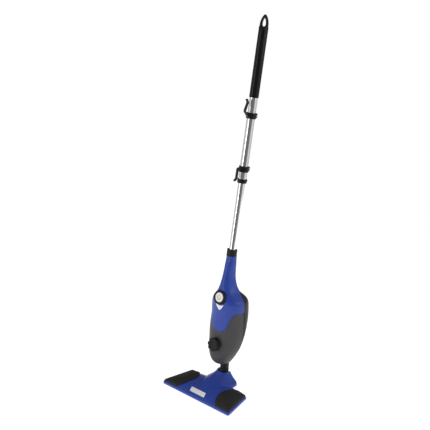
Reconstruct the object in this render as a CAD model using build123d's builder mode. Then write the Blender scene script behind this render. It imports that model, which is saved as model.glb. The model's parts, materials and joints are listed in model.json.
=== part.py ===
from build123d import *
import os
from math import copysign, cos, pi, radians, sin

os.makedirs("parts", exist_ok=True)

# ----------------------------------------------------------------------------
# Driving dimensions, in millimetres and degrees.
# X runs across the head, -Y is the front, +Z is up, and Z = 0 is the floor.
# ----------------------------------------------------------------------------
HEAD_FRONT_WIDTH = 284.0
HEAD_REAR_WIDTH = 235.0
HEAD_FRONT_Y = -72.4
HEAD_SIDE_BACK_Y = 39.0
HEAD_BACK_Y = 58.0
HEAD_CORNER_RADIUS = 4.5
COVER_BOTTOM_Z = 2.0
COVER_WALL = 2.5

TILT_Y = 63.0                   # axis on which the body leans back
TILT_Z = 26.0
BODY_LEAN = 4.917               # of the body's axis, from the vertical
TUBE_LEAN = 11.14               # of the handle tube's axis, from the vertical
SWIVEL_HEIGHT = 20.0            # heights on the body run along its axis, from the tilt axis
BODY_BOTTOM = 51.0
BODY_TOP = 410.0
TUBE_START = 429.6              # where the tube leaves the collar
PARTING_Y = 10.0                # plane between the front covers and the rear housing

NECK_RADIUS = 14.0
LOWER_TUBE_RADIUS = 10.5
UPPER_TUBE_RADIUS = 12.0
TUBE_WALL = 1.2
HANDLE_TRAVEL = 180.0
FERRULE_BOTTOM = 208.0          # heights on the handle run along the tube, from the collar's top
GRIP_BOTTOM = 467.0
GRIP_TOP = 655.0
LOOP_TIP = 709.5

GAP = 0.3                       # between neighbouring mouldings
RUNNING = 0.05                  # radial clearance of a shaft in its bore


# ----------------------------------------------------------------------------
# Planes and shared shapes
# ----------------------------------------------------------------------------
def body_plane(height, back=0.0):
    """Plane square to the body's axis: x across, y backwards, z up the body."""
    lean = radians(BODY_LEAN)
    origin = (
        0,
        TILT_Y + height * sin(lean) + back * cos(lean),
        TILT_Z + height * cos(lean) - back * sin(lean),
    )
    return Plane(origin=origin, x_dir=(1, 0, 0), z_dir=(0, sin(lean), cos(lean)))


def front_plane(height, back=0.0, tip_up=0.0):
    """Plane that faces the front of the body: x across, y up the body, z outwards."""
    lean = radians(BODY_LEAN + tip_up)
    return Plane(
        origin=body_plane(height, back).origin,
        x_dir=(1, 0, 0),
        z_dir=(0, -cos(lean), sin(lean)),
    )


def side_plane(height, back=0.0, across=0.0):
    """Plane that faces +X on the body: x backwards, y up the body."""
    lean = radians(BODY_LEAN)
    origin = body_plane(height, back).origin + Vector(across, 0, 0)
    return Plane(origin=origin, x_dir=(0, cos(lean), -sin(lean)), z_dir=(1, 0, 0))


def tube_plane(height):
    """Plane square to the handle tube: x across, y backwards, z up the tube."""
    start = body_plane(TUBE_START).origin
    lean = radians(TUBE_LEAN)
    origin = start + Vector(0, sin(lean), cos(lean)) * height
    return Plane(origin=origin, x_dir=(1, 0, 0), z_dir=(0, sin(lean), cos(lean)))


def tube_side_plane(height, across=0.0):
    """Plane that faces +X on the handle: x backwards, y up the tube."""
    lean = radians(TUBE_LEAN)
    origin = tube_plane(height).origin + Vector(across, 0, 0)
    return Plane(origin=origin, x_dir=(0, cos(lean), -sin(lean)), z_dir=(1, 0, 0))


def tube_front_plane(height):
    """Plane that faces the front of the handle: x across, y up the tube."""
    lean = radians(TUBE_LEAN)
    return Plane(
        origin=tube_plane(height).origin, x_dir=(1, 0, 0), z_dir=(0, -cos(lean), sin(lean))
    )


def ring_points(half_width, front, rear, front_power, rear_power, count=16):
    """Points on an oval whose front and rear halves have their own depth and squareness."""
    points = []
    for step in range(count):
        c, s = cos(2 * pi * step / count), sin(2 * pi * step / count)
        depth, power = (rear, rear_power) if s > 0 else (front, front_power)
        x = half_width * copysign(abs(c) ** (2 / power), c)
        y = depth * copysign(abs(s) ** (2 / power), s)
        points.append((x, y))
    return points


def save(builder, name):
    builder.part.label = name
    export_step(builder.part, f"parts/{name}.step")


# ----------------------------------------------------------------------------
# Outer form of the body: height, half width, front depth, rear depth, rear squareness
# ----------------------------------------------------------------------------
FRONT_POWER = 2.2
BODY_SECTIONS = [
    (51, 17, 27, 16, 2.0),
    (62, 26, 47, 17, 2.0),
    (77, 36.5, 57, 18, 2.0),
    (100, 49, 57.5, 21.5, 2.2),
    (125, 56, 51, 30, 2.5),
    (155, 60.5, 46, 41, 2.7),
    (190, 60, 43, 52, 2.8),
    (220, 57.5, 41.5, 58.5, 2.8),
    (247, 56, 43, 58, 2.8),
    (265, 53.5, 44, 55, 2.7),
    (277, 47, 43.5, 46, 2.5),
    (290, 37, 41.5, 31, 2.3),
    (305, 28.5, 39.5, 21, 2.2),
    (330, 20, 35, 14.5, 2.1),
    (360, 16.3, 28, 14, 2.0),
    (385, 16, 22, 14.8, 2.0),
    (410, 15.6, 17.3, 15.2, 2.0),
]


def body_form(inset, bottom=BODY_BOTTOM, top=BODY_TOP):
    """The body's outer form drawn in by an inset, from one height to another."""
    with BuildPart() as form:
        for height, half_width, front, rear, rear_power in BODY_SECTIONS:
            placed = min(max(height, bottom), BODY_TOP)
            if height == BODY_TOP:
                placed = top
            with BuildSketch(body_plane(placed)):
                with BuildLine():
                    outline = ring_points(
                        half_width - inset, front - inset, rear - inset, FRONT_POWER, rear_power
                    )
                    Spline(outline, periodic=True)
                make_face()
        loft()
    return form.part


SHELL_WALL = 3.2
LOWER_STEP = 1.2                # the lower cover sits this far inside the front cover
outer_form = body_form(0)
lower_form = body_form(LOWER_STEP)
inner_form = body_form(SHELL_WALL, bottom=BODY_BOTTOM + 3, top=BODY_TOP + 2)


# ----------------------------------------------------------------------------
# Body shells
# ----------------------------------------------------------------------------
TONGUE_BOTTOM = 169.0           # of the front cover's tongue
CAPE_LEVEL = 234.5              # of the front cover's edge at the sides
CAPE_START = 51.5
CAPE_EDGE = [(21, 175.5), (31, 189), (37, 213), (44, 229.5)]
SHOULDER = 292.0                # top of the rear housing
SEAM = 0.5
FAR = 120.0                     # reach of a cutting shape, beyond any surface

SCREW_SPOTS = [(38, 105), (50, 190), (38, 262)]
POST_RADIUS = 5.5
BOSS_RADIUS = 4.0
HEAD_BORE_RADIUS = 3.8          # of a body screw's deep counterbore
SCREW_SHANK = 1.7
SCREW_HEAD = 3.4
BOTH_SIDES = (-1, 1)


def cape_region(raise_by):
    """Everything ahead of the parting plane and above the wavy lower edge of the front cover."""
    level = CAPE_LEVEL + raise_by
    edge = [(0, TONGUE_BOTTOM), *CAPE_EDGE, (CAPE_START, CAPE_LEVEL)]
    edge = [(across, height + raise_by) for across, height in edge]
    with BuildPart() as region:
        with BuildSketch(front_plane(0, back=PARTING_Y)):
            with BuildLine():
                Spline(edge, tangents=((1, 0), (1, 0)))
                Polyline(edge[-1], (FAR, level), (FAR, BODY_TOP + 20), (0, BODY_TOP + 20), edge[0])
            make_face()
            mirror(about=Plane.YZ)
        extrude(amount=FAR)
    return region.part


def rear_region(grow):
    """Everything behind the parting plane and below the rear housing's shoulder."""
    with BuildPart() as region:
        with BuildSketch(side_plane(0)):
            with Locations((PARTING_Y - grow, 0)):
                Rectangle(FAR, SHOULDER + grow, align=(Align.MIN, Align.MIN))
        extrude(amount=FAR, both=True)
    return region.part


with BuildPart() as neck_hole:
    with BuildSketch(body_plane(BODY_BOTTOM - 10)):
        Circle(NECK_RADIUS + GAP)
    extrude(amount=40)

# Tank filler: it looks forward and a little up, below the tongue of the front cover.
CAP_HEIGHT = 126.0
CAP_SURFACE = 51.4              # depth of the front surface there
CAP_TILT = 11.0
CAP_RADIUS = 22.0
FILLER_OUTER = 13.0
FILLER_BORE = 10.0
FILLER_PROUD = 4.0
cap_plane = front_plane(CAP_HEIGHT, back=-CAP_SURFACE, tip_up=CAP_TILT)

# Steam dial: a drum stands out of the front cover and carries the knob.
DIAL_HEIGHT = 281.0
DIAL_BACK = -40.0               # the knob's underside, behind the surface line
DIAL_TILT = 13.0
DIAL_RADIUS = 22.5
DRUM_RADIUS = 24.0
DIAL_THICK = 7.0
dial_plane = front_plane(DIAL_HEIGHT, back=DIAL_BACK, tip_up=DIAL_TILT)


def boss_solids(spots, near, far, radius):
    """Round posts along the body's back-to-front direction, at mirrored spots."""
    with BuildPart() as posts:
        with BuildSketch(front_plane(0, back=near)):
            for across, height in spots:
                with Locations((across, height), (-across, height)):
                    Circle(radius)
        extrude(amount=near - far)
    return posts.part


def pilot_holes(spots):
    """Holes in the front covers' bosses for the body screws."""
    return boss_solids(spots, PARTING_Y, PARTING_Y - 14, SCREW_SHANK + RUNNING)


# Lower cover: the dark front shell around the water tank.
with BuildPart() as lower_cover:
    add(lower_form)
    add(inner_form, mode=Mode.SUBTRACT)
    add(boss_solids(SCREW_SPOTS[:2], PARTING_Y - GAP, -FAR, BOSS_RADIUS) & lower_form)
    with BuildSketch(front_plane(0, back=PARTING_Y)):
        Rectangle(2 * FAR, 2 * BODY_TOP + 20)
    extrude(amount=-FAR, mode=Mode.SUBTRACT)
    add(cape_region(-SEAM), mode=Mode.SUBTRACT)
    add(neck_hole.part, mode=Mode.SUBTRACT)
    add(pilot_holes(SCREW_SPOTS[:2]), mode=Mode.SUBTRACT)
    with BuildSketch(cap_plane):
        Circle(FILLER_OUTER + GAP)
    extrude(amount=12, both=True, mode=Mode.SUBTRACT)
save(lower_cover, "lower_cover")

# Front cover: the coloured shell that wraps the neck of the body and ends in a tongue.
with BuildPart() as below_cape:
    with BuildSketch(front_plane(0, back=PARTING_Y)):
        Rectangle(2 * FAR, SHOULDER, align=(Align.CENTER, Align.MIN))
    extrude(amount=FAR)
    add(cape_region(0), mode=Mode.SUBTRACT)

with BuildPart() as front_cover:
    add(outer_form)
    with BuildSketch(dial_plane):
        Circle(DRUM_RADIUS)
    extrude(amount=-34)
    add(inner_form, mode=Mode.SUBTRACT)
    with BuildSketch(dial_plane.offset(-3)):
        Circle(DRUM_RADIUS - 2.5)
    extrude(amount=-40, mode=Mode.SUBTRACT)
    add(boss_solids(SCREW_SPOTS[2:], PARTING_Y - GAP, -FAR, BOSS_RADIUS) & outer_form)
    add(rear_region(0), mode=Mode.SUBTRACT)
    add(below_cape.part, mode=Mode.SUBTRACT)
    add(pilot_holes(SCREW_SPOTS[2:]), mode=Mode.SUBTRACT)
    with BuildSketch(dial_plane):
        Circle(DIAL_RADIUS + 0.5)
    extrude(amount=20, mode=Mode.SUBTRACT)
    with BuildSketch(dial_plane):
        Circle(4)
    extrude(amount=-6, mode=Mode.SUBTRACT)
    with BuildSketch(tube_plane(-40)):
        Circle(LOWER_TUBE_RADIUS + 0.2)
    extrude(amount=60, mode=Mode.SUBTRACT)
save(front_cover, "front_cover")

# Rear housing: the black back shell, with deep screw posts, vents and the mains cord's inlet.
GLAND_HEIGHT = 246.0
GLAND_RADIUS = 8.0
GLAND_BORE = 3.75
VENT_COUNT = 6
VENT_PITCH = 8.0
VENT_START = 140.0
gland_plane = front_plane(GLAND_HEIGHT, back=58, tip_up=-30)

with BuildPart() as rear_housing:
    add(outer_form)
    add(inner_form, mode=Mode.SUBTRACT)
    add(boss_solids(SCREW_SPOTS, FAR, PARTING_Y, POST_RADIUS) & outer_form)
    add(rear_region(-GAP), mode=Mode.INTERSECT)
    add(neck_hole.part, mode=Mode.SUBTRACT)
    add(boss_solids(SCREW_SPOTS, FAR, PARTING_Y + 4, HEAD_BORE_RADIUS), mode=Mode.SUBTRACT)
    add(boss_solids(SCREW_SPOTS, FAR, PARTING_Y, SCREW_SHANK + 0.2), mode=Mode.SUBTRACT)
    with BuildSketch(front_plane(VENT_START, back=FAR)):
        for row in range(VENT_COUNT):
            with Locations((0, row * VENT_PITCH)):
                SlotOverall(36, 2.6)
    extrude(amount=FAR - 25, mode=Mode.SUBTRACT)
    with BuildSketch(gland_plane):
        Circle(GLAND_RADIUS + 0.1)
    extrude(amount=14, both=True, mode=Mode.SUBTRACT)
save(rear_housing, "rear_housing")

# Body screws: pan heads at the bottom of the rear housing's posts.
with BuildPart() as body_screws:
    add(boss_solids(SCREW_SPOTS, PARTING_Y + 6.5, PARTING_Y + 4.1, SCREW_HEAD))
    add(boss_solids(SCREW_SPOTS, PARTING_Y + 4.2, PARTING_Y - 10, SCREW_SHANK))
save(body_screws, "body_screws")

# Cord gland: the bushed hole for the mains cord, just under the rear shoulder.
with BuildPart() as cord_gland:
    with BuildSketch(gland_plane.offset(8)):
        Circle(GLAND_RADIUS)
    extrude(amount=-18)
    with BuildSketch(gland_plane.offset(-5)):
        Circle(GLAND_RADIUS + 2.5)
    extrude(amount=-2.5)
    chamfer(cord_gland.faces().sort_by(Axis(gland_plane.origin, gland_plane.z_dir))[0].edges(), 1)
    with BuildSketch(gland_plane.offset(10)):
        Circle(GLAND_BORE)
    extrude(amount=-24, mode=Mode.SUBTRACT)
save(cord_gland, "cord_gland")

# ----------------------------------------------------------------------------
# Neck and the two-way joint to the head
# ----------------------------------------------------------------------------
FORK_RADIUS = 12.0              # round lower end of the neck's fork, about the swivel axis
FORK_SLOT = 12.6
LUG_RADIUS = 11.0
LUG_THICK = 12.0
NECK_TOP = 80.0
NECK_BORE = 6.0
BARREL_RADIUS = 9.0
BARREL_LENGTH = 32.0
TILT_PIN_RADIUS = 4.0
TILT_PIN_LENGTH = 50.0
SWIVEL_PIN_RADIUS = 3.5

with BuildPart() as neck:
    with BuildSketch(body_plane(SWIVEL_HEIGHT - FORK_RADIUS - 1)):
        Circle(NECK_RADIUS)
    extrude(amount=NECK_TOP - SWIVEL_HEIGHT + FORK_RADIUS + 1)
    with BuildSketch(front_plane(0)):
        with Locations((0, SWIVEL_HEIGHT)):
            Circle(FORK_RADIUS)
            Rectangle(4 * NECK_RADIUS, NECK_TOP, align=(Align.CENTER, Align.MIN))
    extrude(amount=20, both=True, mode=Mode.INTERSECT)
    with BuildSketch(body_plane(67)):
        Circle(20)
        with Locations((0, 20)):
            Rectangle(50, 18, mode=Mode.SUBTRACT)
    extrude(amount=3)
    with BuildSketch(side_plane(0)):
        with Locations((0, SWIVEL_HEIGHT + LUG_RADIUS + 0.6)):
            Rectangle(FORK_SLOT, 60, align=(Align.CENTER, Align.MAX))
    extrude(amount=30, both=True, mode=Mode.SUBTRACT)
    with BuildSketch(body_plane(SWIVEL_HEIGHT)):
        Circle(NECK_BORE)
    extrude(amount=NECK_TOP, mode=Mode.SUBTRACT)
    with BuildSketch(front_plane(SWIVEL_HEIGHT)):
        Circle(SWIVEL_PIN_RADIUS)
    extrude(amount=20, both=True, mode=Mode.SUBTRACT)
save(neck, "neck")

with BuildPart() as swivel_pin:
    with BuildSketch(front_plane(SWIVEL_HEIGHT)):
        Circle(SWIVEL_PIN_RADIUS - 0.01)
    extrude(amount=NECK_RADIUS - 1.2, both=True)
    chamfer(swivel_pin.edges().filter_by(GeomType.CIRCLE), 0.6)
save(swivel_pin, "swivel_pin")

with BuildPart() as tilt_knuckle:
    with BuildSketch(side_plane(0)):
        Circle(BARREL_RADIUS)
    extrude(amount=BARREL_LENGTH / 2, both=True)
    with BuildSketch(front_plane(0)):
        with Locations((0, SWIVEL_HEIGHT)):
            Circle(LUG_RADIUS)
        Rectangle(2 * BARREL_RADIUS, SWIVEL_HEIGHT, align=(Align.CENTER, Align.MIN))
    extrude(amount=LUG_THICK / 2, both=True)
    with BuildSketch(side_plane(0)):
        Circle(TILT_PIN_RADIUS + 0.01)
    extrude(amount=BARREL_LENGTH, both=True, mode=Mode.SUBTRACT)
    with BuildSketch(front_plane(SWIVEL_HEIGHT)):
        Circle(SWIVEL_PIN_RADIUS + RUNNING)
    extrude(amount=20, both=True, mode=Mode.SUBTRACT)
save(tilt_knuckle, "tilt_knuckle")

with BuildPart() as tilt_pin:
    with BuildSketch(side_plane(0)):
        Circle(TILT_PIN_RADIUS)
    extrude(amount=TILT_PIN_LENGTH / 2, both=True)
    chamfer(tilt_pin.edges().filter_by(GeomType.CIRCLE), 0.8)
save(tilt_pin, "tilt_pin")

# ----------------------------------------------------------------------------
# Head
# ----------------------------------------------------------------------------
PAD_TOP = 3.4
SOLE_BOTTOM = 4.2
SOLE_TOP = 8.0
SOLE_INSET = 6.0
PAD_INSET = 5.0
FAIRING_CENTRE_Y = TILT_Y
DOME_SECTIONS = [           # height and inset, from the straight rim over to the crown
    (2, 0), (8, 0.2), (10, 2), (12.5, 6), (15.5, 12), (18.5, 20), (21, 30), (22.5, 40),
]
CORNER_PAD_SECTIONS = [     # the same for the tops of the corner pads
    (2, 0), (8, 0.2), (11, 0.8), (15, 3.2), (18.5, 8), (21.5, 16), (24, 27), (26, 40),
]
CORNER_PAD_CROWN = (97.0, -18.0, 26.5)
CORNER_PAD_CURVE = 270.0
FAIRING_SECTIONS = [        # height, half width, front depth, rear depth
    (10, 52, 120, 20),
    (20, 48, 98, 19.5),
    (26, 40, 70, 18.5),
    (34, 32, 44, 17),
    (42, 25.5, 27, 16),
    (48, 22, 19, 15),
]
TONGUE_HALF_WIDTH = 36.0
TONGUE_DEPTH = 20.0
TONGUE_INSET = 3.0              # of the sole plate's tongue, inside the cover's


def head_corners(inset):
    """Corners of the head's outline, with every side moved inwards."""
    front, rear = HEAD_FRONT_WIDTH / 2, HEAD_REAR_WIDTH / 2
    corners = [
        Vector(-front, HEAD_FRONT_Y),
        Vector(front, HEAD_FRONT_Y),
        Vector(rear, HEAD_SIDE_BACK_Y),
        Vector(0, HEAD_BACK_Y),
        Vector(-rear, HEAD_SIDE_BACK_Y),
    ]
    moved = []
    for before, corner, after in zip(corners[-1:] + corners, corners, corners[1:] + corners[:1]):
        arriving = (corner - before).normalized()
        leaving = (after - corner).normalized()
        inwards = Vector(-arriving.Y - leaving.Y, arriving.X + leaving.X)
        moved.append(corner + inwards * (inset / (1 + arriving.dot(leaving))))
    return moved


def head_sketch(z, inset):
    with BuildSketch(Plane.XY.offset(z)) as outline:
        with BuildLine():
            Polyline(head_corners(inset), close=True)
        make_face()
        fillet(outline.vertices(), HEAD_CORNER_RADIUS)
    return outline.sketch


def dome_form(wall=0.0, sections=DOME_SECTIONS):
    """The head cover's low crowned form, or the space under it."""
    with BuildPart() as form:
        for z, inset in sections:
            add(head_sketch(z - wall, inset + wall))
        loft(ruled=True)
    return form.part


def fairing_form(wall=0.0, extra_top=0.0):
    """The flared fairing around the neck with the tongue under it, or the space inside them."""
    with BuildPart() as form:
        for z, half_width, front, rear in FAIRING_SECTIONS:
            lift = extra_top if z == FAIRING_SECTIONS[-1][0] else -wall
            with BuildSketch(Plane((0, FAIRING_CENTRE_Y, z + lift))):
                with BuildLine():
                    outline = ring_points(half_width - wall, front - wall, rear - wall, 2.2, 2.2)
                    Spline(outline, periodic=True)
                make_face()
        loft()
        with BuildSketch(Plane((0, FAIRING_CENTRE_Y, COVER_BOTTOM_Z - wall))):
            Ellipse(TONGUE_HALF_WIDTH - wall, TONGUE_DEPTH - wall)
        extrude(amount=12)
    return form.part


dome = dome_form()
head_space = dome_form(COVER_WALL) + fairing_form(COVER_WALL, extra_top=1)

# Head cover: dome and fairing in one shell, open at the back so that the neck can lean.
SLOT_HALF = 18.5
SLOT_FLOOR = 11.0
NECK_CLEARANCE = 17.0           # radius kept free around the neck
PAD_RECESS = 1.6                # depth of the corner pads' recesses
PAD_EDGE = 3.0                  # of the corner pads, inside the head's outline
HEAD_SCREW_SPOTS = [(108, -52), (98, 24), (40, -52)]
HEAD_BOSS_RADIUS = 4.0


def mirrored(spots):
    return [(side * across, y) for across, y in spots for side in BOTH_SIDES]


def corner_pad_region(shrink):
    """Column over the right-hand corner pad: its curved inner edge and the head's rim."""
    with BuildPart() as region:
        with BuildSketch(Plane.XY.offset(8)):
            with BuildLine():
                inner = Spline(
                    (97 + shrink, -80), (67 + shrink, -45), (58 + shrink, -10),
                    (60 + shrink, 10), (69 + shrink, 24), (92 + shrink, 50),
                )
                Polyline(inner @ 1, (FAR + 40, 50), (FAR + 40, -80), inner @ 0)
            make_face()
            with BuildSketch(mode=Mode.INTERSECT):
                with BuildLine():
                    Polyline(head_corners(PAD_EDGE + shrink), close=True)
                make_face()
        extrude(amount=40)
        fillet(region.edges().filter_by(Axis.Z).sort_by(Axis.X)[-1:], HEAD_CORNER_RADIUS - PAD_EDGE)
    return region.part


pad_cutter = corner_pad_region(0) - dome_form(PAD_RECESS)
crown_x, crown_y, crown_z = CORNER_PAD_CROWN
crown_ball = Sphere(CORNER_PAD_CURVE).moved(Location((crown_x, crown_y, crown_z - CORNER_PAD_CURVE)))
pad_piece = corner_pad_region(GAP) & dome_form(sections=CORNER_PAD_SECTIONS) & crown_ball
pad_piece = pad_piece - dome_form(PAD_RECESS - 0.1)

with BuildPart() as head_cover:
    add(dome)
    add(fairing_form())
    add(head_space, mode=Mode.SUBTRACT)
    with BuildSketch(Plane.XY.offset(SOLE_TOP + GAP)):
        with Locations(*mirrored(HEAD_SCREW_SPOTS)):
            Circle(HEAD_BOSS_RADIUS)
    extrude(amount=8.7)
    with BuildSketch(Plane.XY.offset(SLOT_FLOOR)):
        with Locations((0, TILT_Y)):
            Rectangle(2 * SLOT_HALF, 60, align=(Align.CENTER, Align.MIN))
    extrude(amount=60, mode=Mode.SUBTRACT)
    with BuildSketch(Plane((0, FAIRING_CENTRE_Y, TILT_Z))):
        Circle(NECK_CLEARANCE)
    extrude(amount=60, mode=Mode.SUBTRACT)
    add(pad_cutter, mode=Mode.SUBTRACT)
    add(mirror(pad_cutter, about=Plane.YZ), mode=Mode.SUBTRACT)
    with BuildSketch(Plane.XY.offset(SOLE_TOP)):
        with Locations(*mirrored(HEAD_SCREW_SPOTS)):
            Circle(SCREW_SHANK + RUNNING)
    extrude(amount=7, mode=Mode.SUBTRACT)
save(head_cover, "head_cover")

for side, name in ((1, "corner_pad_right"), (-1, "corner_pad_left")):
    with BuildPart() as corner_pad:
        add(pad_piece if side > 0 else mirror(pad_piece, about=Plane.YZ))
    save(corner_pad, name)

# Head badge: a blank plate that follows the dome near the front edge.
with BuildPart() as head_badge:
    with BuildSketch(Plane.XY.offset(10)):
        with BuildLine():
            Polyline((-36, -46), (-30, -62), (30, -62), (24, -46), close=True)
        make_face()
    extrude(amount=20)
    add(dome.moved(Location((0, 0, 0.6))), mode=Mode.INTERSECT)
    add(dome, mode=Mode.SUBTRACT)
save(head_badge, "head_badge")

# Sole plate: the base under the cover, with the steam holes and a tongue under the neck.
with BuildPart() as sole_plate:
    add(extrude(head_sketch(SOLE_BOTTOM, SOLE_INSET), SOLE_TOP - SOLE_BOTTOM))
    with BuildSketch(Plane((0, FAIRING_CENTRE_Y, SOLE_BOTTOM))):
        Ellipse(TONGUE_HALF_WIDTH - TONGUE_INSET, TONGUE_DEPTH - TONGUE_INSET)
    extrude(amount=SOLE_TOP - SOLE_BOTTOM)
    with BuildSketch(Plane.XY.offset(SOLE_BOTTOM)):
        with Locations((0, -14)):
            with GridLocations(22, 9, 8, 2):
                Circle(1.2)
        with Locations(*mirrored(HEAD_SCREW_SPOTS)):
            Circle(SCREW_SHANK + 0.2)
    extrude(amount=SOLE_TOP, mode=Mode.SUBTRACT)
    with BuildSketch(Plane.XY.offset(SOLE_BOTTOM)):
        with Locations(*mirrored(HEAD_SCREW_SPOTS)):
            Circle(HEAD_BORE_RADIUS)
    extrude(amount=2.2, mode=Mode.SUBTRACT)
save(sole_plate, "sole_plate")

with BuildPart() as head_screws:
    with BuildSketch(Plane.XY.offset(SOLE_BOTTOM + 0.1)):
        with Locations(*mirrored(HEAD_SCREW_SPOTS)):
            Circle(SCREW_HEAD)
    extrude(amount=2)
    with BuildSketch(Plane.XY.offset(SOLE_BOTTOM + 2)):
        with Locations(*mirrored(HEAD_SCREW_SPOTS)):
            Circle(SCREW_SHANK)
    extrude(amount=8.4)
save(head_screws, "head_screws")

# Microfibre pad, and the hook strips that hold it to the sole.
with BuildPart() as microfibre_pad:
    add(extrude(head_sketch(0, PAD_INSET), PAD_TOP))
    fillet(microfibre_pad.faces().sort_by(Axis.Z)[0].edges(), 1.2)
save(microfibre_pad, "microfibre_pad")

with BuildPart() as hook_strips:
    with BuildSketch(Plane.XY.offset(PAD_TOP)):
        with Locations((0, 18), (0, -38)):
            with GridLocations(150, 0, 2, 1):
                RectangleRounded(70, 22, 3)
    extrude(amount=SOLE_BOTTOM - PAD_TOP)
save(hook_strips, "hook_strips")

# Heel foot: the rubber foot under the tongue, on which the mop stands up.
with BuildPart() as heel_foot:
    with BuildSketch(Plane((0, FAIRING_CENTRE_Y, 0))):
        with BuildLine():
            Spline(ring_points(30, 8, 15.5, 2.2, 2.2), periodic=True)
        make_face()
    extrude(amount=SOLE_BOTTOM)
    fillet(heel_foot.faces().sort_by(Axis.Z)[0].edges(), 0.8)
save(heel_foot, "heel_foot")

# Steam manifold on the sole plate, and the pipe that feeds it from the neck.
MANIFOLD_Y = -14.0
PIPE_Z = 12.2
PIPE_RADIUS = 3.4
with BuildPart() as steam_manifold:
    with BuildSketch(Plane.XY.offset(SOLE_TOP)):
        with Locations((0, MANIFOLD_Y)):
            RectangleRounded(190, 20, 4)
    extrude(amount=8.5)
    with BuildSketch(Plane.XY.offset(SOLE_TOP)):
        with Locations((0, MANIFOLD_Y)):
            RectangleRounded(186, 16, 3)
    extrude(amount=6.5, mode=Mode.SUBTRACT)
    with BuildSketch(Plane((0, MANIFOLD_Y, PIPE_Z), x_dir=(1, 0, 0), z_dir=(0, 1, 0))):
        Circle(PIPE_RADIUS + 0.02)
    extrude(amount=20, mode=Mode.SUBTRACT)
save(steam_manifold, "steam_manifold")

with BuildPart() as head_steam_pipe:
    with BuildSketch(Plane((0, -8, PIPE_Z), x_dir=(1, 0, 0), z_dir=(0, 1, 0))):
        Circle(PIPE_RADIUS)
        Circle(PIPE_RADIUS - 1.2, mode=Mode.SUBTRACT)
    extrude(amount=59)
save(head_steam_pipe, "head_steam_pipe")

# Head weight: a steel plate on the sole plate that lets the mop stand by itself.
with BuildPart() as head_weight:
    with BuildSketch(Plane.XY.offset(SOLE_TOP)):
        with Locations((0, -43)):
            RectangleRounded(180, 30, 4)
        with Locations((40, -52), (-40, -52)):
            Circle(HEAD_BOSS_RADIUS + 0.5, mode=Mode.SUBTRACT)
    extrude(amount=4)
save(head_weight, "head_weight")

# Trunnion blocks: the two bearings of the tilt pin, on the sole plate.
BLOCK_INNER = 16.5
BLOCK_OUTER = 25.5
with BuildPart() as trunnion_blocks:
    for side in BOTH_SIDES:
        with BuildSketch(Plane((0, 0, 0), x_dir=(0, 1, 0), z_dir=(1, 0, 0)).offset(side * BLOCK_INNER)):
            with Locations((TILT_Y, TILT_Z)):
                Circle(BARREL_RADIUS)
            with Locations((TILT_Y, SOLE_TOP)):
                Rectangle(2 * BARREL_RADIUS, TILT_Z - SOLE_TOP, align=(Align.CENTER, Align.MIN))
            with Locations((TILT_Y, TILT_Z)):
                Circle(TILT_PIN_RADIUS + RUNNING, mode=Mode.SUBTRACT)
        extrude(amount=side * (BLOCK_OUTER - BLOCK_INNER))
save(trunnion_blocks, "trunnion_blocks")

# ----------------------------------------------------------------------------
# Internals of the body. Heights run along the body's axis; depths run backwards from it.
# ----------------------------------------------------------------------------
TANK_BOTTOM, TANK_TOP = 112.0, 205.0
TANK_HALF = 42.0
TANK_BACK = -5.0
TANK_WALL = 2.0
HOSE_RADIUS = 3.0
HOSE_BORE = 2.0
HOSE_BEND = 6.0
HOSE_ACROSS = 38.0
HOSE_BACK = 10.0
BOILER_HALF = 27.0
BOILER_FRONT, BOILER_BACK = -2.0, 22.0
BOILER_BOTTOM, BOILER_TOP = 134.0, 196.0
PUMP_HEIGHT = 222.0
OUTLET_BACK = 8.0


def body_point(across, back, height):
    """Point given in the body's own leaning directions."""
    return body_plane(height, back).origin + Vector(across, 0, 0)


def body_block(half_width, front, rear, bottom, top):
    """Block that stands square on the body's axis."""
    with BuildPart() as block:
        with BuildSketch(body_plane(bottom)):
            with Locations((0, (front + rear) / 2)):
                Rectangle(2 * half_width, rear - front)
        extrude(amount=top - bottom)
    return block.part


def hose(name, corners, outer, bore, bend):
    """Tube through a list of body points, with rounded corners."""
    with BuildPart() as tube:
        with BuildLine() as path:
            FilletPolyline(*[body_point(*corner) for corner in corners], radius=bend)
        with BuildSketch(Plane(origin=path.line @ 0, z_dir=path.line % 0)):
            Circle(outer)
            Circle(bore, mode=Mode.SUBTRACT)
        sweep(path=path.line)
    save(tube, name)


# Water tank: it follows the lower cover and has the threaded filler at the front.
with BuildPart() as water_tank:
    add(body_form(5.2))
    add(body_block(TANK_HALF, -FAR, TANK_BACK, TANK_BOTTOM, TANK_TOP), mode=Mode.INTERSECT)
    with BuildSketch(cap_plane.offset(FILLER_PROUD)):
        Circle(FILLER_OUTER)
    extrude(amount=-FILLER_PROUD - 8)
    with BuildSketch(front_plane(TANK_BOTTOM + 7, back=TANK_BACK + 6)):
        with Locations((-HOSE_ACROSS, 0)):
            Circle(HOSE_RADIUS)
    extrude(amount=8)
    add(
        body_form(5.2 + TANK_WALL)
        & body_block(
            TANK_HALF - TANK_WALL, -FAR, TANK_BACK - TANK_WALL,
            TANK_BOTTOM + TANK_WALL, TANK_TOP - TANK_WALL,
        ),
        mode=Mode.SUBTRACT,
    )
    with BuildSketch(cap_plane.offset(FILLER_PROUD + 1)):
        Circle(FILLER_BORE)
    extrude(amount=-FILLER_PROUD - 14, mode=Mode.SUBTRACT)
    with BuildSketch(front_plane(TANK_BOTTOM + 7, back=TANK_BACK + 7)):
        with Locations((-HOSE_ACROSS, 0)):
            Circle(HOSE_BORE)
    extrude(amount=12, mode=Mode.SUBTRACT)
save(water_tank, "water_tank")

# Boiler: a cast block with a channel for the element, a side inlet and a bottom outlet.
ELEMENT_HALF = 15.0
ELEMENT_RADIUS = 3.2
ELEMENT_LOW = 150.0


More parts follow.
